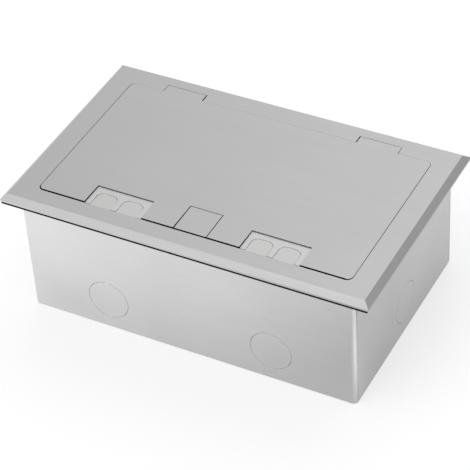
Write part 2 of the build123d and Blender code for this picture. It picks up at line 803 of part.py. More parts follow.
def socket_body():
    body = slab(Rectangle(module_body_size, module_body_size), module_bottom, module_body_depth)
    for clip in clips(plate_height - seat_fit):
        body += clip
    for pins, (px, py) in zip(contact_groups, terminal_places):
        room = contact_pocket(pins, contact_room)
        for x, y, slant in pins:
            room += Pos(x, y) * Rot(0, 0, slant) * Rectangle(slot_width, slot_length)
        body -= slab(room, contact_floor, contact_depth + overrun)
        entry = Rectangle(wire_entry_width, wire_entry_width)
        body -= slab(Pos(px, py) * entry, module_bottom - overrun, contact_floor - module_bottom + overrun)
        recess = Rectangle(lever_width + 2 * lever_room, lever_length + 2 * lever_room)
        body -= slab(Pos(px, py + lever_offset) * recess, module_bottom - overrun, lever_recess + overrun)
    return body


def contact_strip(pins, terminal):
    """Brass strip with a sprung U for each blade and a clamp tab in the wire entry."""
    px, py = terminal
    strip = slab(contact_pocket(pins, 0), contact_floor, contact_sheet)
    for x, y, slant in pins:
        for side in (-1, 1):
            leaf = Pos(side * (slot_width + contact_sheet) / 2, 0) * Rectangle(contact_sheet, contact_length)
            strip += slab(Pos(x, y) * Rot(0, 0, slant) * leaf, contact_floor, contact_height)
    tab_y = py + (wire_entry_width - contact_sheet) / 2 - seat_fit
    tab = Pos(px, tab_y) * Rectangle(clamp_tab_width, contact_sheet)
    return strip + slab(tab, contact_floor - clamp_tab_length, clamp_tab_length)


def release_levers():
    """Press levers that open the clamps, one to a terminal."""
    lever = Rectangle(lever_width, lever_length)
    bottom = module_bottom - lever_stand_out
    return [slab(Pos(px, py + lever_offset) * lever, bottom, lever_stand_out + lever_recess)
            for px, py in terminal_places]


def skirted_cap():
    """Cap with a skirt that clips into the plate."""
    cap = module_cap()
    skirt = Rectangle(module_body_size, module_body_size)
    cap += slab(skirt, plate_top - cap_skirt_depth, cap_skirt_depth)
    cap -= slab(offset(skirt, amount=-module_face_wall), plate_top - cap_skirt_depth - overrun,
                cap_skirt_depth + overrun)
    for clip in clips(plate_height - seat_fit):
        cap += clip
    return cap


def data_face():
    """Skirted cap with two square ways for jacks."""
    cap = skirted_cap()
    for x in (-jack_spacing / 2, jack_spacing / 2):
        way = Pos(x, 0) * Rectangle(jack_width + 2 * jack_fit, jack_length + 2 * jack_fit)
        cap -= slab(way, plate_top - overrun, 2 * module_face_height)
    return cap


def data_jack(x):
    """Jack body with its cavity and the step for the latch."""
    jack_top = plate_top + module_face_height - module_panel_recess
    jack = slab(Pos(x, 0) * Rectangle(jack_width, jack_length), jack_top - jack_depth, jack_depth)
    shoulder = Pos(x, 0) * Rectangle(jack_width, jack_length + 2 * jack_shoulder_reach)
    jack += slab(shoulder, plate_top - jack_shoulder_height, jack_shoulder_height)
    cavity = Pos(x, 0) * Rectangle(jack_cavity_width, jack_cavity_length)
    latch = Rectangle(jack_latch_width, jack_latch_length)
    cavity += Pos(x, -(jack_cavity_length + jack_latch_length) / 2) * latch
    return jack - slab(cavity, jack_top - jack_cavity_depth, jack_cavity_depth + overrun)


# ---------------------------------------------------------------- wiring space
def wiring_divider():
    """Upright sheet with a folded foot, welded to the base."""
    sheet = span(divider_x, divider_x + divider_sheet, box_sheet, plate_height - divider_top_gap)
    sheet += span(divider_x, divider_x + divider_foot, box_sheet, box_sheet + divider_sheet)
    return extrude(Plane.XZ.offset(-divider_rear) * sheet, amount=divider_rear - divider_front)


def earth_stud():
    return rod_z(earth_x, earth_y, box_sheet, earth_stud_diameter / 2, earth_stud_height)


def earth_nuts():
    """Two nuts on the stud, a ring terminal's room apart."""
    bore = earth_stud_diameter / 2 + seat_fit
    return group([hex_nut(earth_x, earth_y, z, earth_nut_width, earth_nut_height, bore)
                  for z in (box_sheet, box_sheet + earth_nut_height + earth_nut_gap)])


# ---------------------------------------------------------------- nodes
nodes = {
    "back_box": back_box(),
    "frame_lugs": group(frame_lug(x, y) for x, y in frame_screw_places),
    "trim_frame": trim_frame(),
    "frame_screws": group(frame_screw(x, y) for x, y in frame_screw_places),
    "flange_gasket": flange_gasket(),
    "lid_seal": lid_seal(),
    "hinge_pins": group(rod_x(sum(tab_window(x)) / 2, hinge_y, hinge_z, hinge_pin_diameter / 2,
                              hinge_pin_length) for x in (-tab_centre, tab_centre)),
    "plate_brackets": group(plate_bracket(x, y) for x, y in plate_screw_places),
    "accessory_plate": accessory_plate(),
    "plate_screws": group(plate_screw(x, y) for x, y in plate_screw_places),
    "data_face": at_column(data_column, data_face()),
    "data_jack_left": at_column(data_column, data_jack(-jack_spacing / 2)),
    "data_jack_right": at_column(data_column, data_jack(jack_spacing / 2)),
    "blank_face": at_column(blank_column, skirted_cap()),
    "wiring_divider": wiring_divider(),
    "earth_stud": earth_stud(),
    "earth_nuts": earth_nuts(),
    "lid_plate": lid_plate(),
    "lid_studs": lid_studs(),
    "stud_nuts": stud_nuts(),
    "lid_stiffener": lid_stiffener(),
    "left_outlet_insert": outlet_insert(-outlet_centre),
    "right_outlet_insert": outlet_insert(outlet_centre),
    "left_door_pin": door_pin(-outlet_centre),
    "right_door_pin": door_pin(outlet_centre),
    "door_springs": door_springs(),
    "lift_handle": lift_handle(),
    "handle_bracket": handle_bracket(),
    "handle_pin": handle_pin(),
    "handle_spring": handle_spring(),
}
for number, column in enumerate(socket_columns, start=1):
    nodes[f"socket_{number}_face"] = at_column(column, socket_face())
    nodes[f"socket_{number}_body"] = at_column(column, socket_body())
    nodes[f"socket_{number}_contacts"] = group(
        at_column(column, contact_strip(pins, place)) for pins, place in zip(contact_groups, terminal_places))
    nodes[f"socket_{number}_release_levers"] = group(at_column(column, lever) for lever in release_levers())
for number, x in enumerate(door_places, start=1):
    nodes[f"cable_door_{number}"] = cable_door(x)

os.makedirs("parts", exist_ok=True)
for name, shape in nodes.items():
    export_step(shape, f"parts/{name}.step")
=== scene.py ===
import math

import bmesh
import bpy
from mathutils import Matrix, Vector


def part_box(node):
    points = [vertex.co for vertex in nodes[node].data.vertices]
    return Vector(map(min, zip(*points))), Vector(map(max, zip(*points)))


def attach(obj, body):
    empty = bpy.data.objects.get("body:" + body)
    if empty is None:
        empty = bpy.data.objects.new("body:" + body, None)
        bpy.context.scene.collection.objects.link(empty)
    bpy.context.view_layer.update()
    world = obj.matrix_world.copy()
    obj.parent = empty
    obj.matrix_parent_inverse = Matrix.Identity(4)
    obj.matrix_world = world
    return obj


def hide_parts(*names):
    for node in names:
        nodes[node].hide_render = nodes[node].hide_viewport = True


MM = 0.001

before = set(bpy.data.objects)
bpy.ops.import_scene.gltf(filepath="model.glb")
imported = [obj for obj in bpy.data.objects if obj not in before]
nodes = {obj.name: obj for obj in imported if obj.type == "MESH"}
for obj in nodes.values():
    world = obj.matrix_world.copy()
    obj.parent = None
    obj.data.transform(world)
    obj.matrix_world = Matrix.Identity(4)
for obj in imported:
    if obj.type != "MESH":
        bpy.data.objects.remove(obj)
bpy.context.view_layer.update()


# ---------------------------------------------------------------- camera
CAMERA_AZIMUTH = 29.762
CAMERA_ELEVATION = 40.326
CAMERA_ROLL = -3.915
CAMERA_PLACE = Vector((0.57426, -1.01147, 1.03427))
CAMERA_LENS = 158.58
CAMERA_SENSOR = 36
CAMERA_REACH = 50


def set_up_camera():
    """Long lens above the front right corner, leaning slightly."""
    azimuth, elevation = math.radians(CAMERA_AZIMUTH), math.radians(CAMERA_ELEVATION)
    roll = math.radians(CAMERA_ROLL)
    back = Vector((math.sin(azimuth) * math.cos(elevation),
                   -math.cos(azimuth) * math.cos(elevation), math.sin(elevation)))
    level = Vector((0, 0, 1)).cross(back).normalized()
    upright = back.cross(level)
    right = level * math.cos(roll) + upright * math.sin(roll)
    up = upright * math.cos(roll) - level * math.sin(roll)
    data = bpy.data.cameras.new("camera")
    data.lens = CAMERA_LENS
    data.sensor_width = CAMERA_SENSOR
    data.clip_end = CAMERA_REACH
    camera = bpy.data.objects.new("camera", data)
    turn = Matrix((right, up, back)).transposed().to_4x4()
    camera.matrix_world = Matrix.Translation(CAMERA_PLACE) @ turn
    bpy.context.scene.collection.objects.link(camera)
    bpy.context.scene.camera = camera


# ---------------------------------------------------------------- material nodes
PATTERN_LOW, PATTERN_HIGH = 0.3, 0.7  # where a noise has nearly all its values
TONE_SPREAD = 0.03
ROUGH_SPREAD = 0.05
SCRATCH_DEPTH = 0.006 * MM
GROUND_DEPTH = 0.005 * MM
THREAD_DEPTH = 0.35  # of the pitch


class Shader:
    """Small builder for one node material."""

    def __init__(self, name, base, metallic, roughness, **sockets):
        self.material = bpy.data.materials.new(name)
        self.material.use_nodes = True
        self.tree = self.material.node_tree
        self.surface = self.tree.nodes["Principled BSDF"]
        self.surface.inputs["Base Color"].default_value = (*base, 1)
        self.surface.inputs["Metallic"].default_value = metallic
        self.surface.inputs["Roughness"].default_value = roughness
        for socket, value in sockets.items():
            self.surface.inputs[socket.replace("_", " ")].default_value = value

    def node(self, kind, **settings):
        made = self.tree.nodes.new(kind)
        for setting, value in settings.items():
            setattr(made, setting, value)
        return made

    def link(self, output, socket):
        self.tree.links.new(output, socket)

    def place(self, scale=(1, 1, 1)):
        """Object coordinates, stretched to the size of a pattern."""
        where = self.node("ShaderNodeTexCoord")
        mapping = self.node("ShaderNodeMapping")
        mapping.inputs["Scale"].default_value = scale
        self.link(where.outputs["Object"], mapping.inputs["Vector"])
        return mapping.outputs["Vector"]

    def noise(self, scale, detail, rough=0.55):
        texture = self.node("ShaderNodeTexNoise")
        texture.inputs["Scale"].default_value = 1.0
        texture.inputs["Detail"].default_value = detail
        texture.inputs["Roughness"].default_value = rough
        self.link(self.place(scale), texture.inputs["Vector"])
        return texture.outputs["Fac"]

    def ranged(self, value, low, high):
        """Spread the middle of a pattern over a range of values."""
        span = self.node("ShaderNodeMapRange")
        span.inputs["From Min"].default_value = PATTERN_LOW
        span.inputs["From Max"].default_value = PATTERN_HIGH
        span.inputs["To Min"].default_value = low
        span.inputs["To Max"].default_value = high
        self.link(value, span.inputs["Value"])
        return span.outputs["Result"]

    def mixed(self, factor, first, second):
        mix = self.node("ShaderNodeMix", data_type="RGBA")
        for socket, value in ((6, first), (7, second)):
            if isinstance(value, tuple):
                mix.inputs[socket].default_value = (*value, 1)
            else:
                self.link(value, mix.inputs[socket])
        self.link(factor, mix.inputs[0])
        return mix.outputs[2]

    def blended(self, first, second, share):
        """Weighted sum of two grey patterns."""
        mix = self.node("ShaderNodeMix", data_type="FLOAT")
        mix.inputs[0].default_value = share
        self.link(first, mix.inputs[2])
        self.link(second, mix.inputs[3])
        return mix.outputs[0]

    def colour(self, output):
        self.link(output, self.surface.inputs["Base Color"])

    def roughness(self, output):
        self.link(output, self.surface.inputs["Roughness"])

    def bump(self, height, depth):
        bump = self.node("ShaderNodeBump")
        bump.inputs["Strength"].default_value = 1.0
        bump.inputs["Distance"].default_value = depth
        self.link(height, bump.inputs["Height"])
        self.link(bump.outputs["Normal"], self.surface.inputs["Normal"])


def shade(colour, factor):
    return tuple(channel * factor for channel in colour)


def brushed(name, base, rough, grain=(40, 2200, 2200), streak=(9, 420, 420), contrast=TONE_SPREAD):
    """Brushed sheet: long fine scratches over faint clouds."""
    steel = Shader(name, base, 1.0, rough)
    fine = steel.noise(grain, detail=4, rough=0.7)
    broad = steel.noise(streak, detail=3, rough=0.6)
    scratches = steel.blended(fine, broad, 0.45)
    cloud = steel.noise((14, 14, 14), detail=2)
    tone = steel.blended(scratches, cloud, 0.4)
    steel.colour(steel.mixed(steel.ranged(tone, 0, 1), shade(base, 1 - contrast),
                             shade(base, 1 + contrast)))
    steel.roughness(steel.ranged(scratches, rough - 0.06, rough + 0.06))
    steel.bump(scratches, SCRATCH_DEPTH)
    return steel.material


def moulded(name, base, rough, grain=1800, depth=8e-6, **sockets):
    """Moulded plastic with a fine eroded grain."""
    plastic = Shader(name, base, 0.0, rough, IOR=1.49, **sockets)
    pits = plastic.noise((grain, grain, grain), detail=3, rough=0.6)
    cloud = plastic.noise((25, 25, 25), detail=2)
    plastic.colour(plastic.mixed(plastic.ranged(cloud, 0, 1), shade(base, 1 - TONE_SPREAD),
                               shade(base, 1 + TONE_SPREAD)))
    plastic.roughness(plastic.ranged(pits, rough - ROUGH_SPREAD, rough + ROUGH_SPREAD))
    plastic.bump(pits, depth)
    return plastic.material


def painted_light_finish(name, base, rough, metallic):
    """Near-white matt finish with short scratches, for painted light: highlights on weld seams and light
    on gap walls.
    """
    weld = Shader(name, base, metallic, rough)
    scratches = weld.noise((900, 900, 260), detail=4, rough=0.7)
    weld.colour(weld.mixed(weld.ranged(scratches, 0, 1), shade(base, 1 - TONE_SPREAD),
                               shade(base, 1 + TONE_SPREAD)))
    weld.roughness(weld.ranged(scratches, rough - ROUGH_SPREAD, rough + ROUGH_SPREAD))
    weld.bump(scratches, GROUND_DEPTH)
    return weld.material


def threaded(name, base, rough, pitch):
    """Rolled thread: even ridges along the screw, with painted shade in the grooves."""
    steel = Shader(name, base, 1.0, rough)
    ridges = steel.node("ShaderNodeTexWave", bands_direction="Z")
    ridges.inputs["Scale"].default_value = math.pi / 10 / pitch
    ridges.inputs["Distortion"].default_value = 0.0
    steel.link(steel.place(), ridges.inputs["Vector"])
    wear = steel.noise((900, 900, 900), detail=2)
    # the grooves between the ridges are painted darker as shade
    steel.colour(steel.mixed(ridges.outputs["Fac"], shade(base, 0.55), base))
    steel.roughness(steel.ranged(wear, rough - 0.05, rough + 0.08))
    steel.bump(ridges.outputs["Fac"], THREAD_DEPTH * pitch)
    return steel.material


# ---------------------------------------------------------------- finishes
STEEL = (0.63, 0.63, 0.63)

finishes = {
    "satin_steel": brushed("satin steel", STEEL, 0.38),
    "body_steel": brushed("satin steel of the body", STEEL, 0.42, grain=(45, 45, 1500),
                          streak=(8, 8, 420), contrast=0.075),
    # the lip is the steel made darker: painted shade
    "lip_painted_shade": brushed("flange lip painted darker as shade", shade(STEEL, 0.85), 0.45),
    # near black here is painted shade: it stands for the shade inside the gaps round the lid and the
    # handle
    "painted_shade_edge": brushed("cut edge painted near black as gap shade", (0.015, 0.015, 0.016), 0.7, contrast=0.08),
    # grey here is painted shade for the walls inside the gaps round the lid
    "painted_grey_shade": brushed("cut edge painted grey as gap shade", (0.3, 0.3, 0.3), 0.55, contrast=0.06),
    # near-white matt colour here is a painted highlight on the weld seams
    "weld_painted_highlight": painted_light_finish("corner weld painted near white as highlight", (0.93, 0.93, 0.93), 0.5, 0.0),
    # near-white matt colour here is painted light on walls inside gaps and slots
    "painted_light_edge": painted_light_finish("edge painted near white as light", (0.93, 0.93, 0.93), 0.5, 0.0),
    "outlet_metal": brushed("matt outlet steel", (0.82, 0.82, 0.815), 0.5, contrast=0.015),
    "door_steel": brushed("matt door steel", (0.79, 0.79, 0.785), 0.48, contrast=0.015),
    "zinc_sheet": brushed("zinc-plated sheet", (0.52, 0.54, 0.56), 0.42, grain=(900, 900, 900),
                          streak=(120, 120, 120), contrast=0.08),
    "bright_steel": brushed("bright zinc plating", (0.6, 0.61, 0.62), 0.3, grain=(900, 900, 900),
                            streak=(120, 120, 120), contrast=0.05),
    "thread": threaded("rolled thread", (0.6, 0.61, 0.62), 0.3, 0.7 * MM),
    "brass_thread": threaded("rolled brass thread", (0.72, 0.52, 0.23), 0.3, 0.8 * MM),
    "contact_gold": brushed("gilt jack contact", (0.9, 0.66, 0.25), 0.22, contrast=0.04),
    "spring_steel": brushed("spring wire", (0.38, 0.38, 0.39), 0.32, contrast=0.05),
    "brass": brushed("plain brass", (0.72, 0.52, 0.23), 0.3, contrast=0.06),
    "plate_paint": moulded("dark powder coat", (0.035, 0.036, 0.038), 0.5, grain=900, depth=3e-5),
    "module_white": moulded("white module plastic", (0.80, 0.80, 0.78), 0.3),
    "body_grey": moulded("grey module plastic", (0.33, 0.33, 0.34), 0.45),
    "lever_orange": moulded("orange lever plastic", (0.75, 0.2, 0.03), 0.4),
    "jack_black": moulded("black jack plastic", (0.02, 0.02, 0.022), 0.38),
    "seal_rubber": moulded("black foam rubber", (0.012, 0.012, 0.012), 0.9, grain=1200, depth=6e-5,
                           Specular_IOR_Level=0.12),
}

FINISH_OF = {
    "satin_steel": ["trim_frame", "lid_plate", "lift_handle"],
    "body_steel": ["back_box"],
    "outlet_metal": ["left_outlet_insert", "right_outlet_insert"],
    "door_steel": [f"cable_door_{n}" for n in range(1, 5)],
    "zinc_sheet": ["frame_lugs", "plate_brackets", "lid_stiffener", "handle_bracket", "wiring_divider"],
    "bright_steel": ["frame_screws", "plate_screws", "hinge_pins", "lid_studs", "stud_nuts",
                     "left_door_pin", "right_door_pin", "handle_pin", "earth_nuts"],
    "spring_steel": ["door_springs", "handle_spring"],
    "brass": ["earth_stud"] + [f"socket_{n}_contacts" for n in (1, 2, 3)],
    "plate_paint": ["accessory_plate"],
    "module_white": ["data_face", "blank_face"] + [f"socket_{n}_face" for n in (1, 2, 3)],
    "body_grey": [f"socket_{n}_body" for n in (1, 2, 3)],
    "lever_orange": [f"socket_{n}_release_levers" for n in (1, 2, 3)],
    "jack_black": ["data_jack_left", "data_jack_right"],
    "seal_rubber": ["lid_seal", "flange_gasket"],
}
for finish, members in FINISH_OF.items():
    for member in members:
        nodes[member].data.materials.clear()
        nodes[member].data.materials.append(finishes[finish])


# ---------------------------------------------------------------- rounded edges
MERGE = 1e-6
FLAT_WITHIN = 0.4  # degrees between the facets of one flat face
EDGE_ANGLE = 35
EDGE_SEGMENTS = 2


def softened(node, body, finish, edge, marks=(), cut=None, whole_faces=True, smooth=True):
    """Copy of a CAD node with its edges broken as a maker would, which stands for the node.

    Each mark names another finish and says which faces have it, from their normal and centre.
    A cut works on the copy's form before its edges are broken."""
    mesh = nodes[node].data.copy()
    mesh.materials.clear()
    for name in [finish] + [mark for mark, _ in marks]:
        mesh.materials.append(finishes[name])
    form = bmesh.new()
    form.from_mesh(mesh)
    bmesh.ops.remove_doubles(form, verts=form.verts, dist=MERGE)
    if whole_faces:
        bmesh.ops.dissolve_limit(form, angle_limit=math.radians(FLAT_WITHIN), verts=form.verts,
                                 edges=form.edges, delimit={"NORMAL"})
    if cut:
        cut(form)
        form.normal_update()
    for number, (_, belongs) in enumerate(marks, start=1):
        for face in form.faces:
            if belongs(face.normal, face.calc_center_median()):
                face.material_index = number
    form.to_mesh(mesh)
    form.free()
    if smooth:
        mesh.shade_smooth()
    else:
        mesh.shade_flat()
    piece = bpy.data.objects.new(f"{node}_finished", mesh)
    bpy.context.scene.collection.objects.link(piece)
    bevel = piece.modifiers.new("broken edges", "BEVEL")
    bevel.width = edge
    bevel.segments = EDGE_SEGMENTS
    bevel.limit_method = "ANGLE"
    bevel.angle_limit = math.radians(EDGE_ANGLE)
    bevel.miter_outer = "MITER_ARC"
    if smooth:
        weights = piece.modifiers.new("flat faces", "WEIGHTED_NORMAL")
        weights.keep_sharp = True
    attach(piece, body)
    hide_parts(node)


lid_low, lid_high = (Vector(corner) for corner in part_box("lid_plate"))
frame_low, frame_high = (Vector(corner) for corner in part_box("trim_frame"))
box_low, box_high = (Vector(corner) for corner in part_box("back_box"))
handle_high = Vector(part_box("lift_handle")[1])
gasket_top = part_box("flange_gasket")[1][2]

# How much of a face's normal lies along an axis
SQUARE = 0.3  # below this the face stands square to the axis
FACING = 0.9  # above this the face looks along the axis
HALFWAY = 0.5
LEVEL_FACE = 0.99

SAME_LEVEL = 0.01 * MM
AT_EDGE = 0.1 * MM
GAP_REACH = 3 * MM
CHAMFER = 0.35 * MM
HANDLE_CHAMFER = 0.7 * CHAMFER
LID_SHEET = 3 * MM
LID_END = 1 * MM
NOTCH_MIDDLE = 10 * MM
NOTCH_REACH = 30 * MM
BOX_SHEET = 1.3 * MM
KNOCKOUTS_FROM = 6 * MM  # above the base
KNOCKOUTS_TO = 20 * MM  # below the top
KNOCKOUTS_INSET = 10 * MM
KNOCKOUT_REACH = 30 * MM
# painted shadow: how much taller the black foam strip is made
GASKET_SHADOW_STRETCH = 1.6


def upright(normal, centre):
    return abs(normal.z) < SQUARE


def painted_shade_edge(normal, centre):
    """Cut edges of the lid's sheet with their chamfers, painted near black as the shade in the gaps."""
    return abs(normal.z) < FACING and centre.z > lid_high.z - LID_SHEET


def painted_shade_edge_of_lid(normal, centre):
    """The lid's cut edges painted near black as gap shade, but for the rear ones, which are painted light.
    """
    return painted_shade_edge(normal, centre) and normal.y < HALFWAY


def front_edge(normal, centre):
    """Front edge that the lid and its handle share."""
    return normal.y < -FACING and centre.y < lid_low.y + AT_EDGE


def notch_back(normal, centre):
    """Back walls of the outlets' notches, painted grey as shade, lighter than the other cut edges."""
    return abs(normal.z) < FACING and normal.y < -FACING and centre.y > lid_low.y + NOTCH_MIDDLE


def chamfered(form, offset, belongs):
    """Break the upper edges of the upright faces that belong."""
    level = max(vert.co.z for vert in form.verts)
    edges = []
    for face in form.faces:
        centre = face.calc_center_median()
        if upright(face.normal, centre) and belongs(face.normal, centre):
            edges += [edge for edge in face.edges
                      if all(abs(vert.co.z - level) < SAME_LEVEL for vert in edge.verts)]
    bmesh.ops.bevel(form, geom=list(set(edges)), offset=offset, offset_type="OFFSET", segments=1,
                    profile=0.5, affect="EDGES", material=-1)


def lid_chamfers(form):
    """Chamfers along the front of the lid and on the left of each of its notches."""
    chamfered(form, CHAMFER, lambda normal, centre: front_edge(normal, centre)
              or (normal.x > FACING and centre.x < lid_high.x - LID_END
                  and centre.y < lid_low.y + NOTCH_REACH))


def handle_chamfers(form):
    """Chamfers along the front and the ends of the lift handle."""
    chamfered(form, HANDLE_CHAMFER, lambda normal, centre: front_edge(normal, centre)
              or abs(normal.x) > FACING and abs(centre.x) > handle_high.x - AT_EDGE)


def lip_face(normal, centre):
    """Outside of the flange's lip, which is painted darker as shade."""
    return upright(normal, centre) and (
        min(centre.x - frame_low.x, frame_high.x - centre.x) < AT_EDGE
        or min(centre.y - frame_low.y, frame_high.y - centre.y) < AT_EDGE)


def opening_wall(normal, centre):
    """Wall of the frame that faces the lid, painted grey as gap shade, but for the rear one, which is
    painted light.
    """
    return (upright(normal, centre) and normal.y > -HALFWAY and centre.z > lid_low.z - GAP_REACH
            and lid_low.x - GAP_REACH < centre.x < lid_high.x + GAP_REACH
            and lid_low.y - GAP_REACH < centre.y < lid_high.y + GAP_REACH)


def rear_wall(normal, centre):
    """Faces that close the narrow gap behind the lid, painted near white as light."""
    return (abs(normal.y) > HALFWAY and centre.z > lid_low.z - GAP_REACH
            and centre.y > lid_high.y - 4 * GAP_REACH)


def knockout_slot(normal, centre):
    """Narrow walls of the slots round the knock-outs, painted near white as light."""
    if not (box_low.z + KNOCKOUTS_FROM <= centre.z <= box_high.z - KNOCKOUTS_TO
            and abs(normal.z) <= LEVEL_FACE):
        return False
    front = (centre.y < box_low.y + BOX_SHEET and abs(normal.y) < SQUARE
             and abs(centre.x) < box_high.x - KNOCKOUTS_INSET)
    end = (centre.x > box_high.x - BOX_SHEET and abs(normal.x) < SQUARE
           and abs(centre.y) < KNOCKOUT_REACH)
    return front or end


def stretched_as_shadow(form):
    """Foam strip made taller, so that its black also stands for the shadow under the flange."""
    bmesh.ops.scale(form, verts=form.verts, vec=(1, 1, GASKET_SHADOW_STRETCH),
                    space=Matrix.Translation((0, 0, -gasket_top)))


# the walls of the knock-out slots are painted near white as light
softened("back_box", "box", "body_steel", 0.25 * MM,
         marks=(("painted_light_edge", knockout_slot),))
# the lip is painted darker and the walls round the lid grey, both as shade; the walls behind the lid are
# painted near white as light
softened("trim_frame", "box", "satin_steel", 0.12 * MM,
         marks=(("lip_painted_shade", lip_face), ("painted_grey_shade", opening_wall), ("painted_light_edge", rear_wall)))
# the lid's cut edges are painted near black and its notch backs grey, as gap shade; its rear walls are
# painted near white as light
softened("lid_plate", "lid", "satin_steel", 0.08 * MM, cut=lid_chamfers,
         marks=(("painted_shade_edge", painted_shade_edge_of_lid), ("painted_grey_shade", notch_back), ("painted_light_edge", rear_wall)),
         smooth=False)
# the handle's cut edges are painted near black as the shade of the gap round it
softened("lift_handle", "handle", "satin_steel", 0.08 * MM, cut=handle_chamfers,
         marks=(("painted_shade_edge", painted_shade_edge),))
# the upright walls of the inserts and the doors are painted near white as light in their gaps
for side in ("left", "right"):
    softened(f"{side}_outlet_insert", "lid", "outlet_metal", 0.1 * MM,
             marks=(("painted_light_edge", upright),))
for number in range(1, 5):
    softened(f"cable_door_{number}", f"door_{number}", "door_steel", 0.08 * MM,
             marks=(("painted_light_edge", upright),))
# the black foam gasket is real in part and, stretched, also serves as painted shadow under the flange's
# lip
softened("flange_gasket", "box", "seal_rubber", 0.03 * MM, cut=stretched_as_shadow)


# ---------------------------------------------------------------- inner pieces
CROSS_REACH = 1.5 * MM
CROSS_HALF_WIDTH = 0.32 * MM
CROSS_DEPTH = 1.3 * MM
CROSS_TAPER = 0.45
HEAD_ROUND = 0.9 * MM
HEAD_SEGMENTS = 4
COUNTERSUNK_HEAD = 2 * MM
BISECT_WITHIN = 1e-7

plate_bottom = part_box("accessory_plate")[0][2]
screws_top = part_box("frame_screws")[1][2]


def flat_tops(form):
    """Flat faces at the form's highest level."""
    level = max(vert.co.z for vert in form.verts)
    return [face for face in form.faces
            if face.normal.z > LEVEL_FACE and abs(face.calc_center_median().z - level) < SAME_LEVEL]


def cross_recesses(form):
    """Sink a tapered cross slot in the middle of each screw head."""
    middles = [face.calc_center_median() for face in flat_tops(form)]
    for axis in (0, 1):
        across = Vector((axis == 0, axis == 1, 0))
        for middle in middles:
            for offset in (-CROSS_REACH, -CROSS_HALF_WIDTH, CROSS_HALF_WIDTH, CROSS_REACH):
                head = [face for face in flat_tops(form)
                        if (face.calc_center_median() - middle).length < 4 * CROSS_REACH]
                edges = {edge for face in head for edge in face.edges}
                corners = {vert for face in head for vert in face.verts}
                bmesh.ops.bisect_plane(form, geom=head + list(edges) + list(corners), dist=BISECT_WITHIN,
                                       plane_co=middle + across * offset, plane_no=across)
    for middle in middles:
        cross = []
        for face in flat_tops(form):
            away = face.calc_center_median() - middle
            near, far = sorted((abs(away.x), abs(away.y)))
            if near < CROSS_HALF_WIDTH and far < CROSS_REACH:
                cross.append(face)
        sunk = bmesh.ops.extrude_face_region(form, geom=cross)["geom"]
        floor = [item for item in sunk if isinstance(item, bmesh.types.BMVert)]
        bmesh.ops.delete(form, geom=cross, context="FACES_ONLY")
        bmesh.ops.translate(form, verts=floor, vec=(0, 0, -CROSS_DEPTH))
        bmesh.ops.scale(form, verts=floor, vec=(CROSS_TAPER, CROSS_TAPER, 1),
                        space=Matrix.Translation(-middle))


def round_heads(form):
    """Round over the rims of pan heads, then sink their cross slots."""
    rims = {edge for face in flat_tops(form) for edge in face.edges}
    bmesh.ops.bevel(form, geom=list(rims), offset=HEAD_ROUND, offset_type="OFFSET", segments=HEAD_SEGMENTS,
                    profile=0.5, affect="EDGES", material=-1)
    cross_recesses(form)


def plate_screw_thread(normal, centre):
    return upright(normal, centre) and centre.z < plate_bottom


def frame_screw_thread(normal, centre):
    return upright(normal, centre) and centre.z < screws_top - COUNTERSUNK_HEAD


softened("plate_screws", "box", "bright_steel", 0.04 * MM, cut=round_heads,
         marks=(("thread", plate_screw_thread),))
softened("frame_screws", "box", "bright_steel", 0.04 * MM, cut=cross_recesses,
         marks=(("thread", frame_screw_thread),))
softened("lid_studs", "lid", "bright_steel", 0.2 * MM, marks=(("thread", upright),))
softened("earth_stud", "box", "brass", 0.3 * MM, marks=(("brass_thread", upright),))

BROKEN_EDGES = (
    # finish, which names its slot too, body, edge in mm, nodes
    ("module_white", "box", 0.25,
     ["data_face", "blank_face"] + [f"socket_{n}_face" for n in (1, 2, 3)]),
    ("body_grey", "box", 0.4, [f"socket_{n}_body" for n in (1, 2, 3)]),
    ("lever_orange", "box", 0.3, [f"socket_{n}_release_levers" for n in (1, 2, 3)]),
    ("jack_black", "box", 0.2, ["data_jack_left", "data_jack_right"]),
    ("plate_paint", "box", 0.35, ["accessory_plate"]),
    ("zinc_sheet", "box", 0.2, ["frame_lugs", "plate_brackets", "wiring_divider"]),
    ("zinc_sheet", "lid", 0.25, ["lid_stiffener", "handle_bracket"]),
    ("bright_steel", "box", 0.35, ["earth_nuts"]),
    ("bright_steel", "lid", 0.25, ["stud_nuts", "hinge_pins", "left_door_pin", "right_door_pin",
                                   "handle_pin"]),
    ("seal_rubber", "box", 0.25, ["lid_seal"]),
)
PIERCED = (["data_face", "blank_face", "accessory_plate", "data_jack_left", "data_jack_right"]
           + [f"socket_{n}_{part}" for n in (1, 2, 3) for part in ("face", "body")])
for finish, body, edge, members in BROKEN_EDGES:
    for member in members:
        softened(member, body, finish, edge * MM, whole_faces=member not in PIERCED)


# ---------------------------------------------------------------- added details
CORNER_RADIUS = 3.8 * MM
SEAM_FROM, SEAM_TO = math.radians(74), math.radians(90)
SEAM_STAND_OUT = 0.04 * MM
SEAM_ABOVE_BASE = 2 * MM
SEAM_BELOW_TOP = 5 * MM
SEAM_STEPS = 6
SEAM_WALL = 0.2 * MM
BEAD_RADIUS = 0.22 * MM
BEAD_SIDES = 10
BEAD_SINK = 0.6  # of its radius
SPRING_WIRE = 0.6 * MM
SPRING_SIDES = 8
SPRING_STEPS = 14
DOOR_SPRING_TURNS = 5.5
HANDLE_SPRING_TURNS = 12
CONTACT_PITCH = 1.02 * MM
CONTACT_COUNT = 8
CONTACT_LENGTH = 8.5 * MM
CONTACT_WIDTH = 0.4 * MM
CONTACT_SHEET = 0.25 * MM
CONTACT_LEAN = math.radians(14)
CONTACT_BEHIND = 1.9 * MM  # the jack's middle
CONTACT_BELOW = 8 * MM  # the jack's face
CONTACT_EDGE = 0.06 * MM


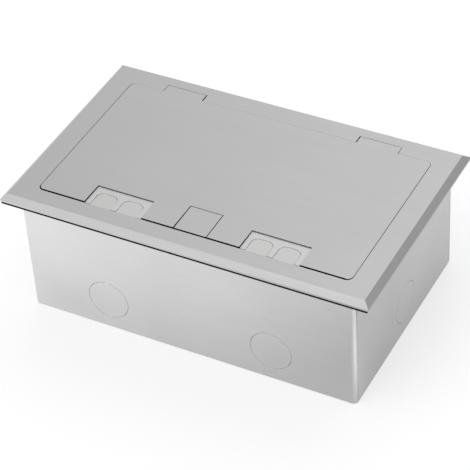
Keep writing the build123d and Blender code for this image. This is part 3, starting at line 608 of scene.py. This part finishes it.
def new_piece(name, form, body, finish, smooth=True):
    """Mesh object from a bmesh, riding on a body."""
    mesh = bpy.data.meshes.new(name)
    bmesh.ops.recalc_face_normals(form, faces=form.faces)
    form.to_mesh(mesh)
    form.free()
    if smooth:
        mesh.shade_smooth()
    mesh.materials.append(finishes[finish])
    piece = bpy.data.objects.new(name, mesh)
    bpy.context.scene.collection.objects.link(piece)
    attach(piece, body)
    return piece


def corner_highlight_seams():
    """Weld seams on the four upright corners of the box, painted near white as the highlight on the
    rounded corners.
    """
    reach = CORNER_RADIUS + SEAM_STAND_OUT
    form = bmesh.new()
    for side in (-1, 1):
        for end in (-1, 1):
            axis = Vector(((box_low.x if side < 0 else box_high.x) - side * CORNER_RADIUS,
                           (box_low.y if end < 0 else box_high.y) - end * CORNER_RADIUS, 0))
            start = [form.verts.new(axis + Vector((side * reach * math.sin(SEAM_FROM),
                                                   end * reach * math.cos(SEAM_FROM), z)))
                     for z in (box_low.z + SEAM_ABOVE_BASE, box_high.z - SEAM_BELOW_TOP)]
            edge = form.edges.new(start)
            bmesh.ops.spin(form, geom=start + [edge], cent=axis, axis=(0, 0, 1), steps=SEAM_STEPS,
                           angle=-side * end * (SEAM_TO - SEAM_FROM), use_merge=False)
    piece = new_piece("corner_highlight_seams", form, "box", "weld_painted_highlight")
    wall = piece.modifiers.new("weld", "SOLIDIFY")
    wall.thickness = SEAM_WALL
    wall.offset = -1


def mitre_highlight_seams():
    """Weld beads along the mitres of the flange's bevel, painted near white as a highlight."""
    points = [vert.co for vert in nodes["trim_frame"].data.vertices]
    level = [co for co in points if co.z > frame_high.z - SAME_LEVEL]
    rim = max(co.z for co in points if co.x > frame_high.x - SAME_LEVEL)
    form = bmesh.new()
    for side in (min, max):
        for end in (min, max):
            upper = Vector((side(co.x for co in level), end(co.y for co in level), frame_high.z))
            lower = Vector((frame_low.x if side is min else frame_high.x,
                            frame_low.y if end is min else frame_high.y, rim))
            run = lower - upper
            inset = run.normalized() * 2 * BEAD_RADIUS
            sunk = Vector((0, 0, -BEAD_SINK * BEAD_RADIUS))
            turn = run.to_track_quat("Z", "Y").to_matrix().to_4x4()
            bmesh.ops.create_cone(form, cap_ends=True, segments=BEAD_SIDES, radius1=BEAD_RADIUS,
                                  radius2=BEAD_RADIUS, depth=(run - 2 * inset).length,
                                  matrix=Matrix.Translation((upper + lower) / 2 + sunk) @ turn)
    new_piece("mitre_highlight_seams", form, "box", "weld_painted_highlight")


def loose_solids(node):
    """Lowest and highest corner of each separate solid of a CAD node."""
    form = bmesh.new()
    form.from_mesh(nodes[node].data)
    bmesh.ops.remove_doubles(form, verts=form.verts, dist=MERGE)
    left, found = set(form.verts), []
    while left:
        front, island = [left.pop()], []
        while front:
            vert = front.pop()
            island.append(vert.co.copy())
            for edge in vert.link_edges:
                other = edge.other_vert(vert)
                if other in left:
                    left.remove(other)
                    front.append(other)
        found.append([Vector(limit(co[axis] for co in island) for axis in range(3))
                      for limit in (min, max)])
    form.free()
    return found


def wound_springs(node, body, turns):
    """Open coils wound in the room of the CAD node's plain tubes."""
    form = bmesh.new()
    for low, high in loose_solids(node):
        middle = (low + high) / 2
        coil_radius = (high.z - low.z - SPRING_WIRE) / 2
        length = high.x - low.x - SPRING_WIRE
        start = Vector((middle.x - length / 2, middle.y, middle.z + coil_radius))
        upright_ring = Matrix.Translation(start) @ Matrix.Rotation(math.pi / 2, 4, "X")
        ring = bmesh.ops.create_circle(form, segments=SPRING_SIDES, radius=SPRING_WIRE / 2,
                                       matrix=upright_ring)["verts"]
        edges = list({edge for vert in ring for edge in vert.link_edges})
        steps = int(turns * SPRING_STEPS)
        bmesh.ops.spin(form, geom=ring + edges, cent=middle, axis=(1, 0, 0), angle=turns * math.tau,
                       steps=steps, dvec=(length / steps, 0, 0), use_merge=False)
    ends = [edge for edge in form.edges if edge.is_boundary]
    bmesh.ops.holes_fill(form, edges=ends, sides=SPRING_SIDES)
    piece = new_piece(f"{node}_wound", form, body, "spring_steel")
    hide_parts(node)


def jack_contacts():
    """Eight spring contacts that lean into the mouth of each data jack."""
    form = bmesh.new()
    for node in ("data_jack_left", "data_jack_right"):
        low, high = (Vector(corner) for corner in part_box(node))
        middle = (low + high) / 2
        for number in range(CONTACT_COUNT):
            x = middle.x + (number - (CONTACT_COUNT - 1) / 2) * CONTACT_PITCH
            place = Matrix.Translation((x, middle.y + CONTACT_BEHIND, high.z - CONTACT_BELOW))
            lean = Matrix.Rotation(CONTACT_LEAN, 4, "X")
            size = Matrix.Diagonal((CONTACT_WIDTH, CONTACT_SHEET, CONTACT_LENGTH, 1))
            bmesh.ops.create_cube(form, size=1, matrix=place @ lean @ size)
    piece = new_piece("jack_contacts", form, "box", "contact_gold", smooth=False)
    edge = piece.modifiers.new("stamped edge", "BEVEL")
    edge.width = CONTACT_EDGE
    edge.segments = 1


corner_highlight_seams()
mitre_highlight_seams()
wound_springs("door_springs", "lid", DOOR_SPRING_TURNS)
wound_springs("handle_spring", "lid", HANDLE_SPRING_TURNS)
jack_contacts()


# ---------------------------------------------------------------- studio
FLOOR_REACH = 6
FLOOR_GREY = 0.8
FLOOR_TO_CAMERA = 0.5
FLOOR_TO_METAL = 0.3
# pools of light painted into the floor's glow that only the metal sees; the negative one is a painted
# shadow
FLOOR_PAINTED_POOLS = (
    # centre, radius, strength
    ((-0.30, -0.25), 0.45, 0.64),
    ((0.30, 0.25), 0.35, 0.20),
    ((0.0, -0.30), 0.30, 0.21),
    ((0.20, -0.10), 0.08, 0.8),
    ((0.11, -0.16), 0.10, -0.15),
)
DOME_EVEN = 0.54
DOME_QUARTERS = (
    # towards, cosine where it starts, cosine where it is full, strength
    ((-0.06, 0.70, 0.71), 0.80, 1.0, 0.82),
    ((-0.20, -0.50, 0.84), 0.75, 1.0, 0.95),
)


def new_tree(holder):
    holder.use_nodes = True
    holder.node_tree.nodes.clear()
    return holder.node_tree


def soft_spot(tree, measure, start, full, peak, below):
    """Add a soft-edged spot to the level below it, which is a number or an output."""
    spot = tree.nodes.new("ShaderNodeMapRange")
    spot.interpolation_type = "SMOOTHSTEP"
    spot.inputs["From Min"].default_value = start
    spot.inputs["From Max"].default_value = full
    spot.inputs["To Max"].default_value = peak
    tree.links.new(measure, spot.inputs["Value"])
    total = tree.nodes.new("ShaderNodeMath")
    if isinstance(below, float):
        total.inputs[0].default_value = below
    else:
        tree.links.new(below, total.inputs[0])
    tree.links.new(spot.outputs["Result"], total.inputs[1])
    return total.outputs[0]


def studio_floor():
    """Pale floor that keeps the shadow and reads as white to the camera and in the metal, where its glow
    also has painted pools of light and one painted shadow.
    """
    mesh = bpy.data.meshes.new("floor")
    form = bmesh.new()
    bmesh.ops.create_grid(form, x_segments=1, y_segments=1, size=FLOOR_REACH)
    form.to_mesh(mesh)
    form.free()
    floor = bpy.data.objects.new("floor", mesh)
    bpy.context.scene.collection.objects.link(floor)
    material = bpy.data.materials.new("pale floor")
    tree = new_tree(material)
    matt = tree.nodes.new("ShaderNodeBsdfDiffuse")
    matt.inputs["Color"].default_value = (FLOOR_GREY, FLOOR_GREY, FLOOR_GREY, 1)
    where = tree.nodes.new("ShaderNodeTexCoord")
    to_metal = FLOOR_TO_METAL
    for centre, radius, peak in FLOOR_PAINTED_POOLS:
        away = tree.nodes.new("ShaderNodeVectorMath")
        away.operation = "DISTANCE"
        away.inputs[1].default_value = (*centre, 0)
        tree.links.new(where.outputs["Object"], away.inputs[0])
        to_metal = soft_spot(tree, away.outputs["Value"], radius, 0, peak, to_metal)
    paths = tree.nodes.new("ShaderNodeLightPath")
    strength = None
    for ray, share in (("Is Camera Ray", FLOOR_TO_CAMERA),
                       ("Is Transmission Ray", FLOOR_TO_CAMERA), ("Is Glossy Ray", to_metal)):
        add = tree.nodes.new("ShaderNodeMath")
        add.operation = "MULTIPLY_ADD"
        add.inputs[2].default_value = 0.0
        tree.links.new(paths.outputs[ray], add.inputs[0])
        if share is to_metal:
            tree.links.new(share, add.inputs[1])
        else:
            add.inputs[1].default_value = share
        if strength is not None:
            tree.links.new(strength, add.inputs[2])
        strength = add.outputs[0]
    glow = tree.nodes.new("ShaderNodeEmission")
    tree.links.new(strength, glow.inputs["Strength"])
    both = tree.nodes.new("ShaderNodeAddShader")
    tree.links.new(matt.outputs[0], both.inputs[0])
    tree.links.new(glow.outputs[0], both.inputs[1])
    output = tree.nodes.new("ShaderNodeOutputMaterial")
    tree.links.new(both.outputs[0], output.inputs["Surface"])
    mesh.materials.append(material)


def studio_dome():
    """World light: even grey with soft bright quarters, and white past the floor for the camera."""
    world = bpy.data.worlds.new("studio")
    bpy.context.scene.world = world
    tree = new_tree(world)
    where = tree.nodes.new("ShaderNodeTexCoord")
    level = DOME_EVEN
    for towards, start, full, strength in DOME_QUARTERS:
        facing = tree.nodes.new("ShaderNodeVectorMath")
        facing.operation = "DOT_PRODUCT"
        facing.inputs[1].default_value = Vector(towards).normalized()
        tree.links.new(where.outputs["Generated"], facing.inputs[0])
        level = soft_spot(tree, facing.outputs["Value"], start, full, strength, level)
    dome = tree.nodes.new("ShaderNodeBackground")
    tree.links.new(level, dome.inputs["Strength"])
    white = tree.nodes.new("ShaderNodeBackground")
    paths = tree.nodes.new("ShaderNodeLightPath")
    mix = tree.nodes.new("ShaderNodeMixShader")
    tree.links.new(paths.outputs["Is Camera Ray"], mix.inputs[0])
    tree.links.new(dome.outputs[0], mix.inputs[1])
    tree.links.new(white.outputs[0], mix.inputs[2])
    output = tree.nodes.new("ShaderNodeOutputWorld")
    tree.links.new(mix.outputs[0], output.inputs["Surface"])


set_up_camera()
studio_floor()
studio_dome()

scene = bpy.context.scene
scene.view_settings.view_transform = "Standard"
